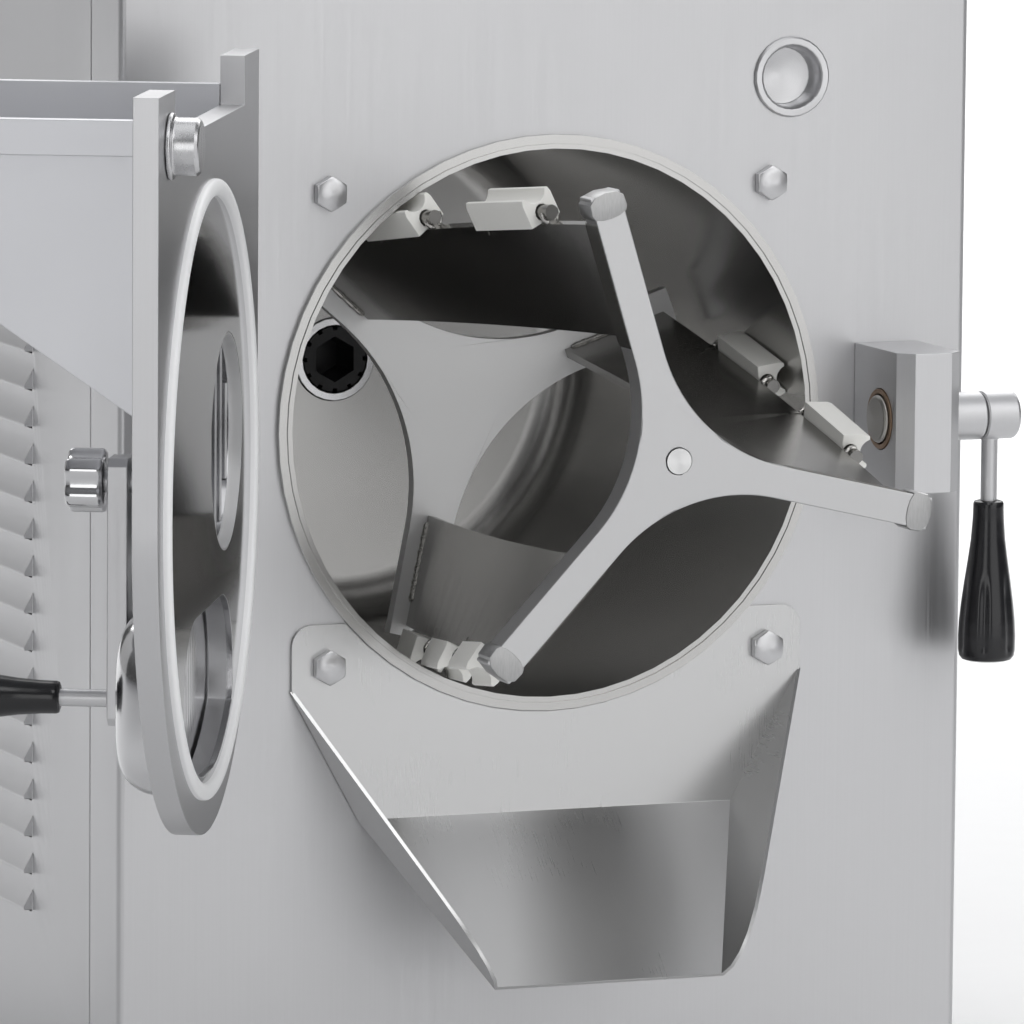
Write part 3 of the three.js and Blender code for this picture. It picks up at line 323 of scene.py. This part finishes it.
def plain_plastic(name, color, roughness, scale, depth, spread=0.06):
    made = Nodes(name)
    pores = made.noise(made.stretched((scale, scale, scale)), detail=5.0)
    cloud = made.noise(made.stretched((25, 25, 25)), detail=3.0)
    made.link(made.between(cloud, shade(color, 1 - spread), shade(color, 1 + spread)),
              made.shader.inputs["Base Color"])
    made.link(made.range(pores, roughness - 0.04, roughness + 0.04), made.shader.inputs["Roughness"])
    made.bump(pores, depth)
    return made.material


STEEL = (0.62, 0.62, 0.63)
looks = {
    "brushed_panel": grained_steel("brushed_panel", STEEL, 0.42, (1400, 1400, 9)),
    "polished_steel": grained_steel("polished_steel", STEEL, 0.14, (900, 6, 900), 0.01, 0.00005 * MM),
    "bore_steel": lathe_steel("bore_steel", (0.55, 0.545, 0.535), 0.25, 0.006, 0.00008 * MM),
    # painted reflection: steel whitened and made half-metallic to show light that the feed hole's wall reflects
    "painted_reflection_wall": grained_steel("painted_reflection_wall", (0.80, 0.80, 0.81), 0.42, (1500, 900, 40), 0.01,
                                 0.00005 * MM, metallic=0.6),
    "cut_steel": grained_steel("cut_steel", (0.42, 0.42, 0.42), 0.36, (1500, 300, 200), 0.09, 0.004 * MM,
                               (0, math.radians(-25), 0)),
    "weld_steel": grained_steel("weld_steel", (0.46, 0.45, 0.43), 0.25, (900, 900, 900), 0.05, 0.01 * MM),
    "satin_steel": grained_steel("satin_steel", (0.60, 0.60, 0.61), 0.28, (1500, 1500, 30), 0.006,
                                 0.00005 * MM),
    "chute_steel": grained_steel("chute_steel", (0.60, 0.60, 0.60), 0.29, (1800, 40, 40), 0.004,
                                 0.00003 * MM),
    "spider_steel": grained_steel("spider_steel", (0.56, 0.56, 0.565), 0.38, (1500, 1500, 60), 0.012,
                                  0.0004 * MM, (0, math.radians(35), 0)),
    "rear_spider_steel": grained_steel("rear_spider_steel", (0.93, 0.93, 0.93), 0.5, (700, 700, 700), 0.006,
                                       0.0003 * MM, metallic=0.55),
    "hopper_steel": grained_steel("hopper_steel", (0.64, 0.645, 0.675), 0.4, (1800, 1800, 40), 0.003,
                                  0.00003 * MM),
    # painted shade: the blades' steel is darkened to stand in for the dark bore that they reflect
    "dark_steel": grained_steel("dark_steel", (0.27, 0.265, 0.255), 0.24, (700, 5, 700), 0.003, 0.00002 * MM,
                                blotch=0.004),
    "grip_black": plain_plastic("grip_black", (0.012, 0.012, 0.014), 0.22, 900, 0.01 * MM),
    "scraper_white": plain_plastic("scraper_white", (0.93, 0.925, 0.885), 0.45, 1500, 0.02 * MM, 0.02),
    "gasket_white": plain_plastic("gasket_white", (0.96, 0.965, 0.97), 0.4, 1500, 0.01 * MM, 0.02),
    "bronze": grained_steel("bronze", (0.34, 0.24, 0.17), 0.4, (900, 900, 900)),
    "foam": plain_plastic("foam", (0.03, 0.03, 0.032), 0.9, 700, 0.2 * MM),
    "black_rubber": plain_plastic("black_rubber", (0.02, 0.02, 0.022), 0.75, 900, 0.03 * MM),
    "black_moulding": plain_plastic("black_moulding", (0.02, 0.02, 0.022), 0.4, 900, 0.02 * MM),
    "painted_black": plain_plastic("painted_black", (0.03, 0.03, 0.033), 0.45, 300, 0.03 * MM),
    "aluminium": grained_steel("aluminium", (0.66, 0.67, 0.68), 0.4, (500, 500, 500)),
    "cast_grey": plain_plastic("cast_grey", (0.24, 0.25, 0.26), 0.6, 600, 0.1 * MM),
}

# ------------------------------------------------------------------ edges and smoothing of CAD nodes


def clean_group():
    """Merges the split corners, drops stored normals and shades smooth below the sharp angle."""
    group = bpy.data.node_groups.new("clean_shading", "GeometryNodeTree")
    group.interface.new_socket("Geometry", in_out="INPUT", socket_type="NodeSocketGeometry")
    group.interface.new_socket("Geometry", in_out="OUTPUT", socket_type="NodeSocketGeometry")
    sharp = group.interface.new_socket("Sharp Angle", in_out="INPUT", socket_type="NodeSocketFloat")
    sharp.default_value = math.radians(32)
    add = group.nodes.new
    link = group.links.new
    start = add("NodeGroupInput")
    end = add("NodeGroupOutput")
    merge = add("GeometryNodeMergeByDistance")
    merge.inputs["Distance"].default_value = 0.01 * MM
    drop = add("GeometryNodeRemoveAttribute")
    drop.inputs["Name"].default_value = "custom_normal"
    angle = add("GeometryNodeInputMeshEdgeAngle")
    small = add("FunctionNodeCompare")
    small.operation = "LESS_THAN"
    edges = add("GeometryNodeSetShadeSmooth")
    edges.domain = "EDGE"
    faces = add("GeometryNodeSetShadeSmooth")
    link(start.outputs[0], merge.inputs["Geometry"])
    link(merge.outputs["Geometry"], drop.inputs["Geometry"])
    link(drop.outputs["Geometry"], faces.inputs["Geometry"])
    link(faces.outputs["Geometry"], edges.inputs["Geometry"])
    link(angle.outputs["Unsigned Angle"], small.inputs["A"])
    link(start.outputs["Sharp Angle"], small.inputs["B"])
    link(small.outputs["Result"], edges.inputs["Shade Smooth"])
    link(edges.outputs["Geometry"], end.inputs[0])
    return group


CLEAN = clean_group()


def smooth(piece):
    modifier = piece.modifiers.new("clean", "NODES")
    modifier.node_group = CLEAN


def soften(piece, width, segments=2, angle=40):
    """Rounds the sharp edges of a piece by `width` millimetres."""
    bevel = piece.modifiers.new("bevel", "BEVEL")
    bevel.width = width * MM
    bevel.segments = segments
    bevel.limit_method = "ANGLE"
    bevel.angle_limit = math.radians(angle)
    bevel.harden_normals = True
    bevel.use_clamp_overlap = True


EDGES = {
    "front_spider": 0.7, "rear_spider": 0.7, "chute": 0.5, "hopper": 1.6, "door_plate": 0.9,
    "latch_block": 0.5, "hinge_bracket_upper": 0.8, "hinge_bracket_lower": 0.8,
    "hinge_strap_upper": 0.8, "hinge_strap_lower": 0.8, "gate_arm": 0.9, "gate_plate": 0.8,
    "star_knob": 1.4, "lever_shaft": 0.8, "flush_cup": 0.5, "locating_stud": 0.9,
    "latch_bushing": 0.4, "latch_pin": 0.6, "left_side_panel": 0.5,
    "right_side_panel": 0.5, "rear_panel": 0.8, "top_cover": 1.5, "base_pan": 0.8,
    "bearing_housing": 0.6, "drive_coupling": 0.4, "drive_motor": 1.0, "compressor": 1.2,
    "cable_gland": 0.5, "feed_throat": 0.4, "driven_pulley": 0.5,
    "motor_pulley": 0.5, "drive_belt": 0.6,
}
EDGES.update({"scraper_%d" % number: 0.5 for number in range(1, 8)})
EDGES.update({"blade_%d" % number: 0.4 for number in range(1, 4)})
EDGES.update({name: 0.2 for name in nodes if name.startswith("bolt_")})
EDGES.update({name: 1.5 for name in nodes if name.startswith("foot_")})

OWN_LOOK = {
    "chute": "chute_steel", "front_spider": "spider_steel", "rear_spider": "rear_spider_steel",
    "hopper": "hopper_steel", "bearing_housing": "polished_steel", "freezing_cylinder": "bore_steel",
    "door_plate": "door_steel",
}
FRONT = Vector((0, 1, 0))
SIDE = Vector((1, 0, 0))
TURNED = {name: (STEEL, FRONT) for name in nodes if name.startswith("bolt_") or name == "flush_cup"}
TURNED["hub_plug"] = ((0.80, 0.81, 0.80), FRONT)
TURNED["latch_pin"] = ((0.42, 0.41, 0.39), SIDE)
for name, (tint, axis) in TURNED.items():
    low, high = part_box(name)
    looks["turned_" + name] = turned_steel("turned_" + name, tint, 0.30, (low + high) / 2, axis)
    OWN_LOOK[name] = "turned_" + name

joints = {joint["name"]: joint for joint in frame["joints"]}
RIM = Matrix.Translation(BORE)
swing = joints["door_swing"]
hinge = Vector(swing["pos_m"])
DOOR = (
    Matrix.Translation(hinge)
    @ Matrix.Rotation(-math.radians(swing["range_deg"][1]), 4, "Z")
    @ Matrix.Translation(-hinge)
    @ RIM
)
looks["door_steel"] = disc_steel("door_steel", (0.58, 0.58, 0.59),
                                 DOOR @ (Vector((0, DOOR_INNER, 0)) * MM),
                                 DOOR.to_3x3() @ FRONT, (GASKET_INNER - 0.2) * MM)

slot_of = {part["node"]: part["material_slot"] for part in frame["record"]["subparts"]}
for name, piece in nodes.items():
    piece.data.materials.clear()
    piece.data.materials.append(looks[OWN_LOOK.get(name, slot_of[name])])
    smooth(piece)
    if name in EDGES:
        soften(piece, EDGES[name])

# ------------------------------------------------------------------ new pieces


def add_piece(name, points, faces, look, body, place=RIM):
    """A new mesh piece; `points` are millimetres in the bore's frame, `place` moves them to rest."""
    mesh = bpy.data.meshes.new(name)
    mesh.from_pydata([place @ (Vector(point) * MM) for point in points], [], faces)
    mesh.validate()
    piece = bpy.data.objects.new(name, mesh)
    bpy.context.collection.objects.link(piece)
    mesh.materials.append(look)
    smooth(piece)
    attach(piece, body)
    return piece


def swept(rows, closed_rows, caps=False):
    """Faces between rings of equal length; `closed_rows` joins the last ring to the first."""
    count = len(rows[0])
    points = [point for row in rows for point in row]
    faces = []
    steps = len(rows) if closed_rows else len(rows) - 1
    for i in range(steps):
        a, b = i * count, ((i + 1) % len(rows)) * count
        for j in range(count):
            k = (j + 1) % count
            faces.append((a + j, b + j, b + k, a + k))
    if caps:
        faces.append(tuple(range(count)))
        faces.append(tuple(range((len(rows) - 1) * count, len(rows) * count))[::-1])
    return points, faces


def gasket_bead():
    """Door seal: a round-topped ring standing on the door's inner face."""
    inner, outer, base, crown = GASKET_INNER, GASKET_OUTER, DOOR_INNER, -4.3
    middle, half = (inner + outer) / 2, (outer - inner) / 2
    section = [(outer, base)]
    for step in range(13):
        angle = math.pi * step / 12
        section.append((middle + half * math.cos(angle), crown - 2.4 + 2.4 * math.sin(angle)))
    section.append((inner, base))
    rows = []
    for i in range(144):
        turn = 2 * math.pi * i / 144
        rows.append([(r * math.cos(turn), y, r * math.sin(turn)) for r, y in section])
    points, faces = swept(rows, True)
    piece = add_piece("gasket_bead", points, faces, looks["gasket_white"], "door", DOOR)
    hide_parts("door_gasket")


def superellipse(half_width, half_height, power, count):
    """Corner points of a rounded rectangle about the origin."""
    points = []
    for i in range(count):
        angle = 2 * math.pi * i / count
        cos, sin = math.cos(angle), math.sin(angle)
        reach = (abs(cos / half_width) ** power + abs(sin / half_height) ** power) ** (-1 / power)
        points.append((reach * cos, reach * sin))
    return points


def gate_cover():
    """Smooth crowned cover of the outlet gate, ribbed on the side that shuts the outlet."""
    face, crown, middle = GATE_FACE, GATE_CROWN, OUTLET_Z
    rim = superellipse(GATE_HALF_WIDTH, GATE_HALF_HEIGHT, 3.6, 160)
    steps = 14
    dome = [(math.sin(math.pi / 2 * t / steps), 0.40 + 0.60 * math.cos(math.pi / 2 * t / steps) ** 0.55)
            for t in range(1, steps)]
    rings = [[(0.0, face - 2.4, middle)] * 160]
    for height, size in [(0.0, 0.97), (0.0, 0.992), (0.03, 1.0)] + dome + [(0.985, 0.36), (0.985, 0.2)]:
        rings.append([
            (x * size, face - min(height * crown, crown - 0.4), middle + z * size)
            for x, z in rim
        ])
    rings.append([(0.0, face - crown + 0.4, middle)] * 160)
    points, faces = swept(rings, False)
    piece = add_piece("gate_cover", points, faces, looks["polished_steel"], "gate", DOOR)
    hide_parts("gate_plate")
    rows = []
    for i in range(241):
        x = -84 + 168 * i / 240
        lift = 1.2 * abs(math.sin(math.pi * (x + 84) / 6.0))
        tall = 40 * (1 - abs(x / 86) ** 4) ** 0.5 + 3
        rows.append([(x, face - 2.0 + lift, middle - tall), (x, face - 2.0 + lift, middle + tall),
                     (x, face - 3.0, middle + tall), (x, face - 3.0, middle - tall)])
    points, faces = swept(rows, False, caps=True)
    add_piece("gate_ribs", points, faces, looks["polished_steel"], "gate", DOOR)


def feed_wall():
    """Turned wall of the door's feed hole; its whitened, half-metallic steel is a painted reflection of bright
    surroundings.
    """
    near, far = DOOR_INNER - 0.15, DOOR_OUTER + 0.2
    rings = []
    for depth, inset in ((near, 0.0), (near, 0.9), (far, 0.9), (far, 0.0)):
        ring = []
        for x, z in superellipse(FEED_WALL_RADIUS, FEED_WALL_RADIUS, 2, 96):
            scale = 1 - inset / math.hypot(x, z)
            ring.append((FEED_X + x * scale, depth, FEED_Z + z * scale))
        rings.append(ring)
    points, faces = swept(rings, True)
    add_piece("feed_wall", points, faces, looks["painted_reflection_wall"], "door", DOOR)


def fluted_grip(name, node, body, place):
    """Tapered handle grip along -Z from its top, with six shallow flutes round its lower part."""
    profile = [
        (0.0, 6.4), (0.6, 8.0), (1.8, 8.5), (10, 8.7), (22, 9.6), (34, 11.2), (46, 13.0), (58, 14.6),
        (68, 15.6), (76, 16.0), (84, 15.9), (87.2, 15.3), (89.2, 13.8), (90, 11.5),
    ]
    rows = []
    for index in range(len(profile) - 1):
        (z0, r0), (z1, r1) = profile[index], profile[index + 1]
        for part in range(4):
            t = part / 4
            rows.append((z0 + (z1 - z0) * t, r0 + (r1 - r0) * t))
    rows.append(profile[-1])
    rings = []
    for z, r in rows:
        depth = 1.3 * max(0.0, min(1.0, (z - 40) / 14)) * max(0.0, min(1.0, (88 - z) / 6))
        ring = []
        for i in range(96):
            angle = 2 * math.pi * i / 96
            groove = max(0.0, math.cos(6 * angle)) ** 2
            radius = r - depth * groove
            ring.append((radius * math.cos(angle), radius * math.sin(angle), -z))
        rings.append(ring)
    points, faces = swept(rings, False, caps=True)
    faces = [face[::-1] for face in faces]
    piece = add_piece(name, points, faces, looks["grip_black"], body, place)
    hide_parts(node)


def lobed_knob():
    """Clamp knob with five round lobes and rounded ends, on the gate's pivot."""
    face, length = -60.9, 20.0
    ends = [(0.0, 3.0), (0.25, 1.6), (1.0, 0.6), (2.2, 0.1), (3.4, 0.0)]
    stations = [(along, inset) for along, inset in ends]
    stations += [(length - along, inset) for along, inset in reversed(ends)]
    rings = [[(PIVOT_X, face, PIVOT_Z)] * 120]
    for along, inset in stations:
        ring = []
        for i in range(120):
            angle = 2 * math.pi * i / 120
            lobe = 1.0 - abs(math.sin(2.5 * angle)) ** 3
            radius = 17.0 - inset - 3.4 * lobe ** 2
            ring.append((PIVOT_X + radius * math.cos(angle), face - along,
                         PIVOT_Z + radius * math.sin(angle)))
        rings.append(ring)
    rings.append([(PIVOT_X, face - length, PIVOT_Z)] * 120)
    points, faces = swept(rings, False)
    piece = add_piece("lobed_knob", points, faces, looks["polished_steel"], "clamp_knob",
                      DOOR)
    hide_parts("star_knob")


def arm_ends():
    """Turned, cross-scored ends of the front spider's three arms."""
    front = (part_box("front_spider")[0].y - BORE.y) / MM
    outline = [
        (136.0, 0), (136.4, -5), (138.0, -9.4), (140.5, -10.6), (146.6, -10.2), (149.8, -6.4), (150.8, 0),
        (149.8, 6.4), (146.6, 10.2), (140.5, 10.6), (138.0, 9.4), (136.4, 5),
    ]
    for number, degrees in enumerate(ARM_ANGLES):
        angle = math.radians(degrees)
        rings = []
        for depth, shrink in ((-0.6, 0.90), (-0.5, 0.95), (0.5, 1.0), (15.6, 1.0)):
            ring = []
            for along, across in outline:
                along = 143.5 + (along - 143.5) * shrink
                across = across * shrink
                ring.append((along * math.cos(angle) - across * math.sin(angle), front + depth,
                             along * math.sin(angle) + across * math.cos(angle)))
            rings.append(ring)
        points, faces = swept(rings, False, caps=True)
        add_piece("arm_end_%d" % (number + 1), points, [face[::-1] for face in faces], looks["cut_steel"],
                  "dasher")


def flank_plates():
    """The blades' front tabs, flush along one side of each front arm."""
    front = (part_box("front_spider")[0].y - BORE.y) / MM
    for number, degrees in enumerate(ARM_ANGLES):
        angle = math.radians(degrees)
        rings = []
        for along in (66.0, 70.0, BLADE_OUTER, 135.4):
            lean = 0.0 if along < 68 or along > 134 else 0.5
            rear = SPIDER_DEPTH + 0.6
            section = ((8.7, 0.5), (8.9 + lean, 0.3), (8.9 + lean, rear), (5.2, rear),
                       (5.2, SPIDER_DEPTH + 0.1), (8.7, SPIDER_DEPTH + 0.05))
            rings.append([
                (along * math.cos(angle) - across * math.sin(angle), front + depth,
                 along * math.sin(angle) + across * math.cos(angle)) for across, depth in section
            ])
        points, faces = swept(rings, False, caps=True)
        add_piece("blade_tab_%d" % (number + 1), points, faces, looks["dark_steel"], "dasher")


def lumpy_tube(path, radius, ripple, seed):
    """Rings of a weld bead along a path, thicker and thinner by `ripple`."""
    rings = []
    for i, point in enumerate(path):
        ahead = Vector(path[min(i + 1, len(path) - 1)]) - Vector(path[max(i - 1, 0)])
        side = ahead.cross(Vector((0.31, 0.52, 0.80))).normalized()
        up = ahead.cross(side).normalized()
        size = radius * (1 + ripple * math.sin(2.1 * i + seed) * math.cos(0.7 * i))
        if i in (0, len(path) - 1):
            size *= 0.35
        rings.append([
            tuple(Vector(point) + size * (math.cos(a) * side + math.sin(a) * up))
            for a in (2 * math.pi * k / 10 for k in range(10))
        ])
    return swept(rings, False, caps=True)


def welds():
    """Beads where the blades meet the rear spider and where the scrapers' stud bars meet the blades."""
    front = (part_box("front_spider")[0].y - BORE.y) / MM
    count = 0
    for arm in range(3):
        root = math.radians(ARM_ANGLES[0]) - arm * ARM_STEP
        for side in (-1, 1):
            for along, tag in ((DASHER_LENGTH - 9.2, "rear"), (17.2, "front")):
                angle = root + BLADE_TWIST * along / DASHER_LENGTH
                path = []
                for step in range(25):
                    r = 74 + 46 * step / 24
                    path.append((r * math.cos(angle) - side * 2.9 * math.sin(angle), front + along,
                                 r * math.sin(angle) + side * 2.9 * math.cos(angle)))
                points, faces = lumpy_tube(path, 1.5, 0.22, arm + side)
                name = "weld_%s_%d_%s" % (tag, arm + 1, "a" if side < 0 else "b")
                add_piece(name, points, faces, looks["weld_steel"], "dasher")
        for start in SCRAPER_STARTS[arm]:
            for along in (start - 5.0, start + SCRAPER_LENGTH + 4.0):
                count += 1
                angle = root + BLADE_TWIST * along / DASHER_LENGTH
                path = []
                for step in range(15):
                    turn = math.pi * (-0.15 + 1.3 * step / 14)
                    across = 4.3 * math.cos(turn)
                    r = 139.0 - 4.6 * math.sin(turn)
                    path.append((r * math.cos(angle) - across * math.sin(angle), front + along,
                                 r * math.sin(angle) + across * math.cos(angle)))
                points, faces = lumpy_tube(path, 1.3, 0.25, count)
                add_piece("stud_weld_%d" % count, points, faces, looks["weld_steel"], "dasher")


gasket_bead()
gate_cover()
feed_wall()
lobed_knob()
arm_ends()
flank_plates()
welds()
gate_place = DOOR @ Matrix.Translation(GATE_GRIP_TOP * MM)
fluted_grip("gate_grip_fluted", "gate_grip", "gate", gate_place @ Matrix.Rotation(-math.pi / 2, 4, "X"))
lever_low, lever_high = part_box("lever_grip")
lever_top = Vector(((lever_low.x + lever_high.x) / 2, (lever_low.y + lever_high.y) / 2, lever_high.z))
fluted_grip("lever_grip_fluted", "lever_grip", "latch_lever", Matrix.Translation(lever_top))

# ------------------------------------------------------------------ stage


def make_floor():
    bpy.ops.mesh.primitive_plane_add(size=40, location=(BORE.x, BORE.y, 0))
    floor = bpy.context.object
    floor.name = "floor"
    floor.data.materials.append(plain_plastic("floor", (0.92, 0.92, 0.92), 0.6, 40, 0.1 * MM, 0.01))


make_camera()
make_world()
make_floor()
area_light("key", (2.0, -3.0, 2.6), (2.4, 2.4), 30)
area_light("front", (1.4, -4.6, 0.8), (4.0, 2.4), 36)
area_light("backdrop", (2.5, 6.5, 3.2), (8.0, 10.0), 520, (2.5, 6.5, -1.0))
area_light("left_front", (-3.2, -4.4, 0.5), (1.8, 2.6), 26)
area_light("left_back", (-2.6, 4.0, 0.9), (3.6, 3.0), 12)
area_light("top_left", (-1.0, -3.0, 3.0), (1.4, 1.4), 16)
area_light("top", (0.0, -0.6, 2.6), (2.5, 2.5), 14)
bpy.context.scene.view_settings.view_transform = "Standard"
